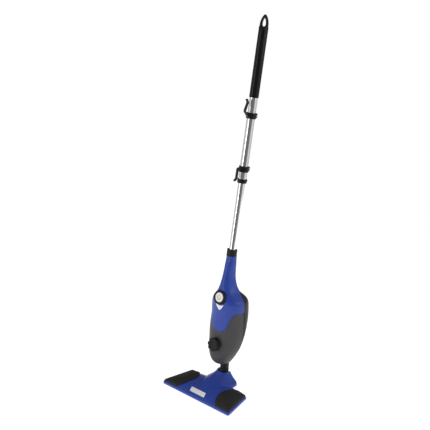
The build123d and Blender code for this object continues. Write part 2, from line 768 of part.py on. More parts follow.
def element_sweep(radius, top):
    """U-shaped rod from above the boiler, down, across and up again."""
    with BuildPart() as rod:
        with BuildLine() as path:
            FilletPolyline(
                body_point(-ELEMENT_HALF, HOSE_BACK, top),
                body_point(-ELEMENT_HALF, HOSE_BACK, ELEMENT_LOW),
                body_point(ELEMENT_HALF, HOSE_BACK, ELEMENT_LOW),
                body_point(ELEMENT_HALF, HOSE_BACK, top),
                radius=11,
            )
        with BuildSketch(Plane(origin=path.line @ 0, z_dir=path.line % 0)):
            Circle(radius)
        sweep(path=path.line)
    return rod.part


with BuildPart() as boiler:
    add(body_block(BOILER_HALF, BOILER_FRONT, BOILER_BACK, BOILER_BOTTOM, BOILER_TOP))
    fillet(boiler.edges(), 2.5)
    with BuildSketch(body_plane(BOILER_BOTTOM + 1, back=OUTLET_BACK)):
        Circle(5)
    extrude(amount=-10)
    with BuildSketch(side_plane(186, back=HOSE_BACK, across=BOILER_HALF - 1)):
        Circle(HOSE_RADIUS)
    extrude(amount=3)
    with BuildSketch(side_plane(186, back=HOSE_BACK, across=BOILER_HALF - 6)):
        Circle(HOSE_BORE)
    extrude(amount=12, mode=Mode.SUBTRACT)
    with BuildSketch(body_plane(BOILER_BOTTOM + 8, back=OUTLET_BACK)):
        Circle(2.4)
    extrude(amount=-20, mode=Mode.SUBTRACT)
    add(element_sweep(ELEMENT_RADIUS + RUNNING, BOILER_TOP + 4), mode=Mode.SUBTRACT)
save(boiler, "boiler")

with BuildPart() as heating_element:
    add(element_sweep(ELEMENT_RADIUS, BOILER_TOP + 3))
    with BuildSketch(body_plane(BOILER_TOP + 3, back=HOSE_BACK)):
        with Locations((-ELEMENT_HALF, 0), (ELEMENT_HALF, 0)):
            Circle(1.2)
    extrude(amount=4)
save(heating_element, "heating_element")

with BuildPart() as thermostat:
    with BuildSketch(front_plane(170, back=BOILER_BACK + 7)):
        with Locations((-10, 0)):
            Circle(8)
    extrude(amount=6.9)
    with BuildSketch(front_plane(170, back=BOILER_BACK + 11)):
        with Locations((-14, 0), (-6, 0)):
            Rectangle(1, 5)
    extrude(amount=5)
save(thermostat, "thermostat")

with BuildPart() as thermal_fuse:
    with BuildSketch(body_plane(162, back=BOILER_BACK + 2.3)):
        with Locations((13, 0)):
            Circle(2.2)
    extrude(amount=15)
save(thermal_fuse, "thermal_fuse")

hose(
    "steam_pipe",
    [(0, OUTLET_BACK, BOILER_BOTTOM - 9.2), (0, OUTLET_BACK, 108), (0, 0, 92), (0, 0, 64)],
    outer=3.5, bore=2.4, bend=10,
)
hose(
    "inlet_hose",
    [
        (-HOSE_ACROSS, TANK_BACK + 6.1, TANK_BOTTOM + 7),
        (-HOSE_ACROSS, HOSE_BACK, TANK_BOTTOM + 7),
        (-HOSE_ACROSS, HOSE_BACK, PUMP_HEIGHT),
        (-28.2, HOSE_BACK, PUMP_HEIGHT),
    ],
    outer=HOSE_RADIUS, bore=HOSE_BORE, bend=HOSE_BEND,
)
hose(
    "outlet_hose",
    [
        (28.2, HOSE_BACK, PUMP_HEIGHT),
        (HOSE_ACROSS, HOSE_BACK, PUMP_HEIGHT),
        (HOSE_ACROSS, HOSE_BACK, 186),
        (BOILER_HALF + 2.2, HOSE_BACK, 186),
    ],
    outer=HOSE_RADIUS, bore=HOSE_BORE, bend=HOSE_BEND,
)

# Solenoid pump: tube and barbs, plunger, coil, and the steel frame around the coil.
PUMP_TUBE_RADIUS = 7.0
PUMP_TUBE_HALF = 22.0
PLUNGER_RADIUS = 4.0
PLUNGER_HALF = 12.0
PUMP_CHAMBER_HALF = 17.0
COIL_RADIUS = 15.0
COIL_HALF = 13.0
FRAME_HALF = 17.0
FRAME_THICK = 1.6


def pump_plane(across):
    return side_plane(PUMP_HEIGHT, back=HOSE_BACK, across=across)


with BuildPart() as pump_tube:
    with BuildSketch(pump_plane(0)):
        Circle(PUMP_TUBE_RADIUS)
    extrude(amount=PUMP_TUBE_HALF, both=True)
    with BuildSketch(pump_plane(0)):
        Circle(2.6)
    extrude(amount=28, both=True)
    with BuildSketch(pump_plane(0)):
        Circle(PLUNGER_RADIUS + RUNNING)
    extrude(amount=PUMP_CHAMBER_HALF, both=True, mode=Mode.SUBTRACT)
    with BuildSketch(pump_plane(0)):
        Circle(1.2)
    extrude(amount=30, both=True, mode=Mode.SUBTRACT)
save(pump_tube, "pump_tube")

with BuildPart() as pump_plunger:
    with BuildSketch(pump_plane(0)):
        Circle(PLUNGER_RADIUS)
    extrude(amount=PLUNGER_HALF, both=True)
    chamfer(pump_plunger.edges().filter_by(GeomType.CIRCLE), 0.6)
save(pump_plunger, "pump_plunger")

with BuildPart() as pump_coil:
    with BuildSketch(pump_plane(0)):
        Circle(COIL_RADIUS)
        Circle(PUMP_TUBE_RADIUS + RUNNING, mode=Mode.SUBTRACT)
    extrude(amount=COIL_HALF, both=True)
save(pump_coil, "pump_coil")

with BuildPart() as pump_frame:
    with BuildSketch(pump_plane(0)):
        Rectangle(2 * COIL_RADIUS, 2 * FRAME_HALF)
        Circle(PUMP_TUBE_RADIUS + RUNNING, mode=Mode.SUBTRACT)
    extrude(amount=COIL_HALF + FRAME_THICK + 0.2, both=True)
    with BuildSketch(pump_plane(0)):
        Rectangle(4 * COIL_RADIUS, 2 * (FRAME_HALF - FRAME_THICK))
    extrude(amount=COIL_HALF + 0.1, both=True, mode=Mode.SUBTRACT)
save(pump_frame, "pump_frame")

# Control board behind the dial, and the rotary switch that the dial's spindle turns in.
BOARD_BACK = -17.0
BOARD_THICK = 1.6
BOARD_PARTS = [             # across, height, half width, height and depth of each component
    (-9, 244, 7, 12, 10),
    (10, 243, 5, 16, 7),
    (-11, 262, 4, 8, 6),
]
SPINDLE_RADIUS = 3.0
with BuildPart() as control_board:
    add(body_block(20, BOARD_BACK - BOARD_THICK, BOARD_BACK, 240, 288))
    for across, height, half, tall, depth in BOARD_PARTS:
        with BuildSketch(front_plane(height, back=BOARD_BACK + depth)):
            with Locations((across, 0)):
                Rectangle(2 * half, tall, align=(Align.CENTER, Align.MIN))
        extrude(amount=depth + 0.5)
save(control_board, "control_board")

with BuildPart() as dial_switch:
    with BuildSketch(dial_plane.offset(-6.5)):
        Circle(9.5)
        Circle(SPINDLE_RADIUS + RUNNING, mode=Mode.SUBTRACT)
    extrude(amount=-11)
save(dial_switch, "dial_switch")

# ----------------------------------------------------------------------------
# Steam dial, index pointer and tank cap
# ----------------------------------------------------------------------------
FACE_RADIUS = 15.0
FACE_SINK = 1.4
with BuildPart() as dial_knob:
    with BuildSketch(dial_plane.offset(0.5)):
        Circle(DIAL_RADIUS)
    extrude(amount=DIAL_THICK)
    rims = dial_knob.edges().filter_by(GeomType.CIRCLE)
    fillet(rims.group_by(Axis(dial_plane.origin, dial_plane.z_dir))[-1], 1.5)
    with BuildSketch(dial_plane.offset(0.5 + DIAL_THICK)):
        Circle(FACE_RADIUS + 0.1)
    extrude(amount=-FACE_SINK, mode=Mode.SUBTRACT)
    with BuildSketch(dial_plane.offset(1)):
        Circle(SPINDLE_RADIUS)
    extrude(amount=-17)
save(dial_knob, "dial_knob")

with BuildPart() as dial_face:
    with BuildSketch(dial_plane.offset(0.5 + DIAL_THICK - FACE_SINK)):
        Circle(FACE_RADIUS)
    extrude(amount=1.1)
save(dial_face, "dial_face")

with BuildPart() as dial_mark:
    with BuildSketch(dial_plane.offset(0.6 + DIAL_THICK - 0.4)):
        with BuildLine():
            outer_arc = CenterArc((0, 0), 6.6, 130, 280)
            inner_arc = CenterArc((0, 0), 5.4, 130, 280)
            Line(outer_arc @ 0, inner_arc @ 0)
            Line(outer_arc @ 1, inner_arc @ 1)
        make_face()
        with Locations((0, 7.5)):
            Triangle(a=3.4, B=60, C=60)
    extrude(amount=0.3)
save(dial_mark, "dial_mark")

# Index pointer: a pale shield that follows the front cover just under the dial.
with BuildPart() as index_pointer:
    with BuildSketch(front_plane(0)):
        with BuildLine():
            top = ThreePointArc((-16, 261), (0, 255.6), (16, 261))
            right = Spline(top @ 1, (9.5, 248.5), (0, 240))
            left = Spline(top @ 0, (-9.5, 248.5), (0, 240))
        make_face()
    extrude(amount=FAR)
    add(body_form(-0.9), mode=Mode.INTERSECT)
    add(outer_form, mode=Mode.SUBTRACT)
save(index_pointer, "index_pointer")

PLUG_RADIUS = 9.7
PLUG_HEAD = 12.4
with BuildPart() as tank_cap_plug:
    with BuildSketch(cap_plane.offset(-9)):
        Circle(PLUG_RADIUS)
    extrude(amount=9 + FILLER_PROUD + 0.7)
    with BuildSketch(cap_plane.offset(FILLER_PROUD + 0.6)):
        Circle(PLUG_HEAD)
    extrude(amount=1.6)
    with BuildSketch(cap_plane.offset(FILLER_PROUD)):
        Circle(SPINDLE_RADIUS)
    extrude(amount=6.5)
save(tank_cap_plug, "tank_cap_plug")

with BuildPart() as tank_cap_gasket:
    with BuildSketch(cap_plane.offset(FILLER_PROUD + 0.05)):
        Circle(PLUG_HEAD)
        Circle(PLUG_RADIUS + 0.1, mode=Mode.SUBTRACT)
    extrude(amount=0.5)
save(tank_cap_gasket, "tank_cap_gasket")

CAP_LOBES = 8
CAP_BOTTOM = 0.8
CAP_TOP = 13.6
with BuildPart() as tank_cap:
    with BuildSketch(cap_plane.offset(CAP_BOTTOM)):
        Circle(CAP_RADIUS - 2.5)
        with PolarLocations(CAP_RADIUS - 5, CAP_LOBES):
            Circle(5)
    extrude(amount=CAP_TOP - CAP_BOTTOM)
    chamfer(tank_cap.faces().sort_by(Axis(cap_plane.origin, cap_plane.z_dir))[-1].edges(), 1.6)
    with BuildSketch(cap_plane.offset(CAP_TOP)):
        Circle(11)
    extrude(amount=-1.2, mode=Mode.SUBTRACT)
    with BuildSketch(cap_plane.offset(CAP_BOTTOM)):
        Circle(FILLER_OUTER + 0.5)
    extrude(amount=5.8, mode=Mode.SUBTRACT)
    with BuildSketch(cap_plane.offset(CAP_BOTTOM)):
        Circle(SPINDLE_RADIUS + RUNNING)
    extrude(amount=10, mode=Mode.SUBTRACT)
save(tank_cap, "tank_cap")

# ----------------------------------------------------------------------------
# Handle: collar, socket, telescopic tubes, lock button, hooks and grip
# ----------------------------------------------------------------------------
LOCK_HEIGHT = FERRULE_BOTTOM + 6.5
LOCK_STEPS = 3
TUBE_BOTTOM = -75.0
LOWER_TUBE_TOP = 290.0
SOCKET_BOTTOM, SOCKET_TOP = -75.0, -40.0
SOCKET_RADIUS = 11.8
SOCKET_SCREW = -58.0
COLLAR_RADIUS = 16.0
FERRULE_HEIGHT = 13.0
FERRULE_RADIUS = 14.5
BUTTON_RADIUS = 3.4

with BuildPart() as tube_collar:
    with BuildSketch(tube_plane(-26)):
        Circle(COLLAR_RADIUS)
    extrude(amount=26)
    chamfer(tube_collar.faces().sort_by(Axis.Z)[-1].edges(), 1)
    with BuildSketch(tube_plane(-30)):
        Circle(LOWER_TUBE_RADIUS + RUNNING)
    extrude(amount=40, mode=Mode.SUBTRACT)
    with BuildSketch(body_plane(BODY_TOP + 0.1)):
        Circle(4 * COLLAR_RADIUS)
    extrude(amount=-30, mode=Mode.SUBTRACT)
save(tube_collar, "tube_collar")

with BuildPart() as tube_socket:
    with BuildSketch(tube_plane(SOCKET_BOTTOM)):
        Circle(SOCKET_RADIUS)
        Circle(LOWER_TUBE_RADIUS + RUNNING, mode=Mode.SUBTRACT)
    extrude(amount=SOCKET_TOP - SOCKET_BOTTOM)
    with BuildSketch(tube_side_plane(SOCKET_SCREW)):
        Circle(SCREW_SHANK + RUNNING)
    extrude(amount=20, both=True, mode=Mode.SUBTRACT)
save(tube_socket, "tube_socket")

with BuildPart() as socket_screw:
    with BuildSketch(tube_side_plane(SOCKET_SCREW, across=-SOCKET_RADIUS)):
        Circle(SCREW_SHANK)
    extrude(amount=2 * SOCKET_RADIUS)
save(socket_screw, "socket_screw")

with BuildPart() as lower_tube:
    with BuildSketch(tube_plane(TUBE_BOTTOM)):
        Circle(LOWER_TUBE_RADIUS)
        Circle(LOWER_TUBE_RADIUS - TUBE_WALL, mode=Mode.SUBTRACT)
    extrude(amount=LOWER_TUBE_TOP - TUBE_BOTTOM)
    with BuildSketch(tube_side_plane(SOCKET_SCREW)):
        Circle(SCREW_SHANK + RUNNING)
    extrude(amount=20, both=True, mode=Mode.SUBTRACT)
    with BuildSketch(tube_front_plane(0)):
        for step in range(LOCK_STEPS):
            with Locations((0, LOCK_HEIGHT - step * HANDLE_TRAVEL / (LOCK_STEPS - 1))):
                Circle(BUTTON_RADIUS + 1)
    extrude(amount=-20, mode=Mode.SUBTRACT)
save(lower_tube, "lower_tube")

# Lock spring: a folded strip inside the lower tube, behind the lock button.
with BuildPart() as lock_spring:
    with BuildSketch(tube_side_plane(0)):
        with BuildLine():
            Polyline((7.4, LOCK_HEIGHT - 20), (8.2, LOCK_HEIGHT - 20), (8.2, LOCK_HEIGHT + 20))
            CenterArc((0, LOCK_HEIGHT + 20), 8.2, 0, 180)
            Polyline((-8.2, LOCK_HEIGHT + 20), (-8.2, LOCK_HEIGHT - 20), (-7.4, LOCK_HEIGHT - 20))
            Line((-7.4, LOCK_HEIGHT - 20), (-7.4, LOCK_HEIGHT + 20))
            CenterArc((0, LOCK_HEIGHT + 20), 7.4, 0, 180)
            Line((7.4, LOCK_HEIGHT + 20), (7.4, LOCK_HEIGHT - 20))
        make_face()
    extrude(amount=2.5, both=True)
save(lock_spring, "lock_spring")

with BuildPart() as upper_tube:
    with BuildSketch(tube_plane(FERRULE_BOTTOM + 1)):
        Circle(UPPER_TUBE_RADIUS)
        Circle(UPPER_TUBE_RADIUS - TUBE_WALL, mode=Mode.SUBTRACT)
    extrude(amount=GRIP_TOP - FERRULE_BOTTOM - 1)
    with BuildSketch(tube_front_plane(LOCK_HEIGHT)):
        Circle(BUTTON_RADIUS + 0.3)
    extrude(amount=-20, mode=Mode.SUBTRACT)
save(upper_tube, "upper_tube")

with BuildPart() as ferrule:
    with BuildSketch(tube_plane(FERRULE_BOTTOM)):
        Circle(FERRULE_RADIUS)
    extrude(amount=FERRULE_HEIGHT)
    chamfer(ferrule.edges().filter_by(GeomType.CIRCLE), 1)
    with BuildSketch(tube_front_plane(LOCK_HEIGHT)):
        Circle(6)
    extrude(amount=-17.5)
    with BuildSketch(tube_plane(FERRULE_BOTTOM - 1)):
        Circle(LOWER_TUBE_RADIUS + 0.1)
    extrude(amount=FERRULE_HEIGHT + 2, mode=Mode.SUBTRACT)
    with BuildSketch(tube_plane(FERRULE_BOTTOM + 1)):
        Circle(UPPER_TUBE_RADIUS + 0.02)
    extrude(amount=FERRULE_HEIGHT, mode=Mode.SUBTRACT)
    with BuildSketch(tube_front_plane(LOCK_HEIGHT)):
        Circle(BUTTON_RADIUS + RUNNING)
    extrude(amount=-20, mode=Mode.SUBTRACT)
save(ferrule, "ferrule")

with BuildPart() as height_button:
    with BuildSketch(tube_front_plane(LOCK_HEIGHT)):
        Circle(BUTTON_RADIUS)
    extrude(amount=-20.5)
    with BuildSketch(tube_plane(FERRULE_BOTTOM - 5)):
        Circle(UPPER_TUBE_RADIUS + 0.2)
    extrude(amount=30, mode=Mode.SUBTRACT)
    fillet(height_button.faces().sort_by(Axis.Y)[-1].edges(), 1)
save(height_button, "height_button")

HOOK_RING_RADIUS = 15.2
EAR_REACH = 23.0
EAR_THICK = 3.5
EAR_SLIT = 1.2
EAR_HALF_HEIGHT = 7.0
HOOK_SCREW_BACK = 19.5
HOOK_WIDTH = 7.0
ARM_THICK = 4.2


def cord_hook(name, bottom, top, arm_points, arm_bend):
    """Clamp ring on the upper tube with split ears behind and a cord arm in front."""
    middle = (bottom + top) / 2
    with BuildPart() as hook:
        with BuildSketch(tube_plane(bottom)):
            Circle(HOOK_RING_RADIUS)
        extrude(amount=top - bottom)
        chamfer(hook.edges().filter_by(GeomType.CIRCLE), 0.8)
        with BuildSketch(tube_side_plane(0)):
            with BuildLine():
                FilletPolyline(*arm_points, radius=arm_bend)
            trace(line_width=ARM_THICK)
        extrude(amount=HOOK_WIDTH / 2, both=True)
        with BuildSketch(tube_side_plane(0)):
            with Locations((0, middle)):
                RectangleRounded(2 * EAR_REACH, 2 * EAR_HALF_HEIGHT, 3)
            with Locations((0, middle)):
                Rectangle(FAR, FAR, align=(Align.MAX, Align.CENTER), mode=Mode.SUBTRACT)
        extrude(amount=EAR_THICK + EAR_SLIT, both=True)
        with BuildSketch(tube_plane(bottom - 40)):
            Circle(UPPER_TUBE_RADIUS + RUNNING)
        extrude(amount=top - bottom + 80, mode=Mode.SUBTRACT)
        with BuildSketch(tube_side_plane(0)):
            with Locations((0, middle)):
                Rectangle(FAR, FAR, align=(Align.MIN, Align.CENTER))
        extrude(amount=EAR_SLIT, both=True, mode=Mode.SUBTRACT)
        with BuildSketch(tube_side_plane(0)):
            with Locations((HOOK_SCREW_BACK, middle)):
                Circle(SCREW_SHANK + RUNNING)
        extrude(amount=20, both=True, mode=Mode.SUBTRACT)
    save(hook, name)


def hook_screw(name, middle):
    """Cross screw that closes a hook's ears."""
    with BuildPart() as screw:
        with BuildSketch(tube_side_plane(0, across=-EAR_SLIT - EAR_THICK - 1.5)):
            with Locations((HOOK_SCREW_BACK, middle)):
                Circle(SCREW_SHANK)
        extrude(amount=2 * (EAR_SLIT + EAR_THICK) + 1.6)
        with BuildSketch(tube_side_plane(0, across=EAR_SLIT + EAR_THICK + 0.1)):
            with Locations((HOOK_SCREW_BACK, middle)):
                Circle(2.8)
        extrude(amount=1.8)
    save(screw, name)


LOWER_HOOK = (242.0, 260.0)
UPPER_HOOK = (404.0, 422.0)
cord_hook(
    "lower_cord_hook", *LOWER_HOOK,
    arm_points=[(-13.5, 254), (-28.5, 254), (-28.5, 223), (-37, 216)], arm_bend=5,
)
cord_hook(
    "upper_cord_hook", *UPPER_HOOK,
    arm_points=[(-13, 408), (-33.5, 426), (-24.5, 452), (-31, 461.5)], arm_bend=6,
)
hook_screw("lower_hook_screw", sum(LOWER_HOOK) / 2)
hook_screw("upper_hook_screw", sum(UPPER_HOOK) / 2)

# Grip sleeve and the pointed end with its hanging hole.
GRIP_RADIUS = 14.2
LOOP_HALF = 13.9
LOOP_THICK = 3.6
LOOP_HOLE_HALF = 8.5
LOOP_HOLE_CENTRE = 682.0
LOOP_HOLE_TIP = 701.5

with BuildPart() as grip_sleeve:
    with BuildSketch(tube_plane(GRIP_BOTTOM)):
        Circle(GRIP_RADIUS)
        Circle(UPPER_TUBE_RADIUS + RUNNING, mode=Mode.SUBTRACT)
    extrude(amount=GRIP_TOP - GRIP_BOTTOM)
    fillet(grip_sleeve.edges().filter_by(GeomType.CIRCLE).group_by(SortBy.RADIUS)[-1], 1.0)
save(grip_sleeve, "grip_sleeve")


def pointed_arch(half_width, base, spring, tip):
    """Flat pointed arch that stands on a base line."""
    with BuildSketch() as arch:
        with BuildLine():
            right = Line((half_width, base), (half_width, spring))
            Spline(right @ 1, (0, tip), tangents=((0, 1), (-0.75, 0.66)))
            left = Line((-half_width, base), (-half_width, spring))
            Spline(left @ 1, (0, tip), tangents=((0, 1), (0.75, 0.66)))
            Line(left @ 0, right @ 0)
        make_face()
    return arch.sketch


with BuildPart() as grip_end:
    with BuildSketch(tube_front_plane(0)):
        add(pointed_arch(LOOP_HALF, GRIP_TOP + GAP, 676, LOOP_TIP))
    extrude(amount=20, both=True)
    with BuildSketch(tube_plane(GRIP_TOP)):
        Circle(GRIP_RADIUS)
    extrude(amount=60, mode=Mode.INTERSECT)
    with BuildSketch(tube_side_plane(0)):
        with BuildLine():
            Polyline(
                (-20, GRIP_TOP), (-20, GRIP_TOP + 3), (-LOOP_THICK, LOOP_HOLE_CENTRE - 6),
                (-LOOP_THICK, LOOP_TIP + 1), (LOOP_THICK, LOOP_TIP + 1),
                (LOOP_THICK, LOOP_HOLE_CENTRE - 6), (20, GRIP_TOP + 3), (20, GRIP_TOP), close=True,
            )
        make_face()
    extrude(amount=20, both=True, mode=Mode.INTERSECT)
    with BuildSketch(tube_front_plane(0)):
        add(pointed_arch(LOOP_HOLE_HALF, LOOP_HOLE_CENTRE, LOOP_HOLE_CENTRE + 0.5, LOOP_HOLE_TIP))
        with Locations((0, LOOP_HOLE_CENTRE)):
            Circle(LOOP_HOLE_HALF)
    extrude(amount=20, both=True, mode=Mode.SUBTRACT)
    with BuildSketch(tube_plane(GRIP_TOP + 1)):
        Circle(UPPER_TUBE_RADIUS - TUBE_WALL - RUNNING)
    extrude(amount=-26)
save(grip_end, "grip_end")
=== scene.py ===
import json
import math

import bmesh
import bpy
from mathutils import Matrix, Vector, geometry, noise


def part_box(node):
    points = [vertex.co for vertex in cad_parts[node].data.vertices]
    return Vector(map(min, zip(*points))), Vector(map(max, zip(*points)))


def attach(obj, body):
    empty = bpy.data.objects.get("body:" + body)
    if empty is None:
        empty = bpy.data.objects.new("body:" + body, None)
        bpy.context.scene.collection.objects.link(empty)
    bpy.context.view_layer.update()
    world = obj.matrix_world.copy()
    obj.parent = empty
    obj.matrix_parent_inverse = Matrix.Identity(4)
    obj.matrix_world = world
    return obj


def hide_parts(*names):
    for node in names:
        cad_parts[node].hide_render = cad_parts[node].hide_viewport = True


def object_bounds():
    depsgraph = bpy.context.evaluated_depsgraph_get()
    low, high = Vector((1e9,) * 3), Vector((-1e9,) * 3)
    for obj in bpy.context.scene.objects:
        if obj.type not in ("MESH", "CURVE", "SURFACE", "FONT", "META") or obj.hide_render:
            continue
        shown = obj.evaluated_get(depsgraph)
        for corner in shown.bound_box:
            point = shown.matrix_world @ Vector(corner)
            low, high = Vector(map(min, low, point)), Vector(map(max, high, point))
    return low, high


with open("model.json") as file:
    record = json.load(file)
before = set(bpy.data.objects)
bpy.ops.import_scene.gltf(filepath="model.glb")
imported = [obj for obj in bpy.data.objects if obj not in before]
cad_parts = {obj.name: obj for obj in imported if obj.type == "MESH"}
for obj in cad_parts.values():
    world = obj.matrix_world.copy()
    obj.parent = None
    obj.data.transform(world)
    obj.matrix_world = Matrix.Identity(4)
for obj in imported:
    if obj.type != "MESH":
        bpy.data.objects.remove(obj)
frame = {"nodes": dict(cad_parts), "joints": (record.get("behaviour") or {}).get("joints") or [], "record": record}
cad_low, cad_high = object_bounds()
nodes = frame["nodes"]

# The leaning directions of the handle and of the body, from the record's joints.
joints = {joint["name"]: joint for joint in frame["joints"]}
TUBE_UP = -Vector(joints["handle_slide"]["axis"])
TUBE_LEAN = math.atan2(TUBE_UP.y, TUBE_UP.z)
TILT_CENTRE = Vector(joints["neck_tilt"]["pos_m"])
SWIVEL_CENTRE = Vector(joints["neck_swivel"]["pos_m"])
BODY_UP = (SWIVEL_CENTRE - TILT_CENTRE).normalized()
BODY_LEAN = math.atan2(BODY_UP.y, BODY_UP.z)


# ----------------------------------------------------------------------------
# Camera, light and floor
# ----------------------------------------------------------------------------
CAMERA_AZIMUTH = math.radians(43.2346)
CAMERA_DISTANCE = 2.5971
CAMERA_HEIGHT = 1.5828
CAMERA_YAW = math.radians(-0.323)
CAMERA_PITCH = math.radians(20.852)
CAMERA_LENS = 79.19
SENSOR_WIDTH = 36.0


def make_camera():
    data = bpy.data.cameras.new("studio_camera")
    data.lens = CAMERA_LENS
    data.sensor_width = SENSOR_WIDTH
    camera = bpy.data.objects.new("studio_camera", data)
    bpy.context.scene.collection.objects.link(camera)
    camera.location = (
        math.sin(CAMERA_AZIMUTH) * CAMERA_DISTANCE,
        -math.cos(CAMERA_AZIMUTH) * CAMERA_DISTANCE,
        CAMERA_HEIGHT,
    )
    heading = CAMERA_AZIMUTH + CAMERA_YAW
    forwards = Vector((
        -math.sin(heading) * math.cos(CAMERA_PITCH),
        math.cos(heading) * math.cos(CAMERA_PITCH),
        -math.sin(CAMERA_PITCH),
    ))
    camera.rotation_euler = forwards.to_track_quat("-Z", "Y").to_euler()
    bpy.context.scene.camera = camera


def make_softbox(name, azimuth, elevation, distance, width, height, power):
    """Area light on a sphere round the middle of the mop, facing it."""
    middle = (cad_low + cad_high) / 2
    a, e = math.radians(azimuth), math.radians(elevation)
    direction = Vector((math.sin(a) * math.cos(e), -math.cos(a) * math.cos(e), math.sin(e)))
    data = bpy.data.lights.new(name, "AREA")
    data.shape = "RECTANGLE"
    data.size = width
    data.size_y = height
    data.energy = power
    light = bpy.data.objects.new(name, data)
    bpy.context.scene.collection.objects.link(light)
    light.location = middle + direction * distance
    light.rotation_euler = (-direction).to_track_quat("-Z", "Z").to_euler()


# Brightness of the studio by direction, from right behind the mop (0) to the camera's side (1).
PANELS = [(0.06, 0.30), (0.30, 1.0), (0.79, 1.0), (0.93, 0.24)]
STUDIO_BRIGHTNESS = 0.62


def make_world():
    """White studio, with dim panels in front and behind that polished tubes show as dark lines."""
    world = bpy.data.worlds.new("studio")
    bpy.context.scene.world = world
    world.use_nodes = True
    tree = world.node_tree
    tree.nodes.clear()
    link = tree.links.new
    output = tree.nodes.new("ShaderNodeOutputWorld")
    seen = tree.nodes.new("ShaderNodeBackground")
    seen.inputs["Color"].default_value = (1, 1, 1, 1)
    lighting = tree.nodes.new("ShaderNodeBackground")
    lighting.inputs["Strength"].default_value = STUDIO_BRIGHTNESS
    mix = tree.nodes.new("ShaderNodeMixShader")
    path = tree.nodes.new("ShaderNodeLightPath")
    link(path.outputs["Is Camera Ray"], mix.inputs["Fac"])
    link(lighting.outputs[0], mix.inputs[1])
    link(seen.outputs[0], mix.inputs[2])
    link(mix.outputs[0], output.inputs["Surface"])
    place = tree.nodes.new("ShaderNodeTexCoord")
    flat = tree.nodes.new("ShaderNodeVectorMath")
    flat.operation = "MULTIPLY"
    flat.inputs[1].default_value = (1, 1, 0)
    unit = tree.nodes.new("ShaderNodeVectorMath")
    unit.operation = "NORMALIZE"
    towards = tree.nodes.new("ShaderNodeVectorMath")
    towards.operation = "DOT_PRODUCT"
    towards.inputs[1].default_value = (math.sin(CAMERA_AZIMUTH), -math.cos(CAMERA_AZIMUTH), 0)
    link(place.outputs["Generated"], flat.inputs[0])
    link(flat.outputs[0], unit.inputs[0])
    link(unit.outputs[0], towards.inputs[0])
    share = range_node(tree, towards.outputs["Value"], 0.0, 1.0, -1.0, 1.0)
    levels = [(position, (level, level, level)) for position, level in PANELS]
    link(ramp_node(tree, share, levels, "EASE"), lighting.inputs["Color"])


FLOOR_SIZE = 3.2
FLOOR_DROP = 0.0002
FLOOR_GLOW = 0.74


def make_floor():
    """Pale paper that glows a little, so that it stays white under the soft light."""
    floor_level = min(0.0, cad_low.z) - FLOOR_DROP
    bpy.ops.mesh.primitive_plane_add(size=FLOOR_SIZE, location=(0, 0, floor_level))
    floor = bpy.context.object
    floor.name = "studio_floor"
    material, tree, shader = new_material("studio_paper")
    coordinates = object_coordinates(tree)
    grain = noise_node(tree, coordinates, scale=3.0, detail=2)
    shade = ramp_node(tree, grain, [(0.3, (0.93, 0.93, 0.93)), (0.7, (0.95, 0.95, 0.95))])
    tree.links.new(shade, shader.inputs["Base Color"])
    tree.links.new(shade, shader.inputs["Emission Color"])
    shader.inputs["Emission Strength"].default_value = FLOOR_GLOW
    shader.inputs["Roughness"].default_value = 0.9
    shader.inputs["Specular IOR Level"].default_value = 0.1
    floor.data.materials.append(material)


# ----------------------------------------------------------------------------
# Material building blocks
# ----------------------------------------------------------------------------
def new_material(name):
    material = bpy.data.materials.new(name)
    material.use_nodes = True
    tree = material.node_tree
    return material, tree, tree.nodes["Principled BSDF"]


def object_coordinates(tree, lean=0.0, stretch=(1, 1, 1)):
    """Object coordinates, turned so that z runs up a leaning axis, and stretched."""
    place = tree.nodes.new("ShaderNodeTexCoord")
    turn = tree.nodes.new("ShaderNodeMapping")
    turn.inputs["Rotation"].default_value = (lean, 0, 0)
    turn.inputs["Scale"].default_value = stretch
    tree.links.new(place.outputs["Object"], turn.inputs["Vector"])
    return turn.outputs["Vector"]


def noise_node(tree, coordinates, scale, detail=3.0, roughness=0.5, distortion=0.0):
    texture = tree.nodes.new("ShaderNodeTexNoise")
    texture.inputs["Scale"].default_value = scale
    texture.inputs["Detail"].default_value = detail
    texture.inputs["Roughness"].default_value = roughness
    texture.inputs["Distortion"].default_value = distortion
    tree.links.new(coordinates, texture.inputs["Vector"])
    return texture.outputs["Fac"]


def cells_node(tree, coordinates, scale, feature="F1"):
    texture = tree.nodes.new("ShaderNodeTexVoronoi")
    texture.feature = feature
    texture.inputs["Scale"].default_value = scale
    tree.links.new(coordinates, texture.inputs["Vector"])
    return texture.outputs["Distance"]


def ramp_node(tree, value, stops, interpolation="LINEAR"):
    ramp = tree.nodes.new("ShaderNodeValToRGB")
    ramp.color_ramp.interpolation = interpolation
    elements = ramp.color_ramp.elements
    while len(elements) < len(stops):
        elements.new(0.5)
    for element, (position, colour) in zip(elements, stops):
        element.position = position
        element.color = (*colour, 1)
    tree.links.new(value, ramp.inputs["Fac"])
    return ramp.outputs["Color"]


def range_node(tree, value, low, high, from_low=0.3, from_high=0.7):
    spread = tree.nodes.new("ShaderNodeMapRange")
    spread.inputs["From Min"].default_value = from_low
    spread.inputs["From Max"].default_value = from_high
    spread.inputs["To Min"].default_value = low
    spread.inputs["To Max"].default_value = high
    tree.links.new(value, spread.inputs["Value"])
    return spread.outputs["Result"]


def math_node(tree, operation, first, second):
    node = tree.nodes.new("ShaderNodeMath")
    node.operation = operation
    tree.links.new(first, node.inputs[0])
    tree.links.new(second, node.inputs[1])
    return node.outputs[0]


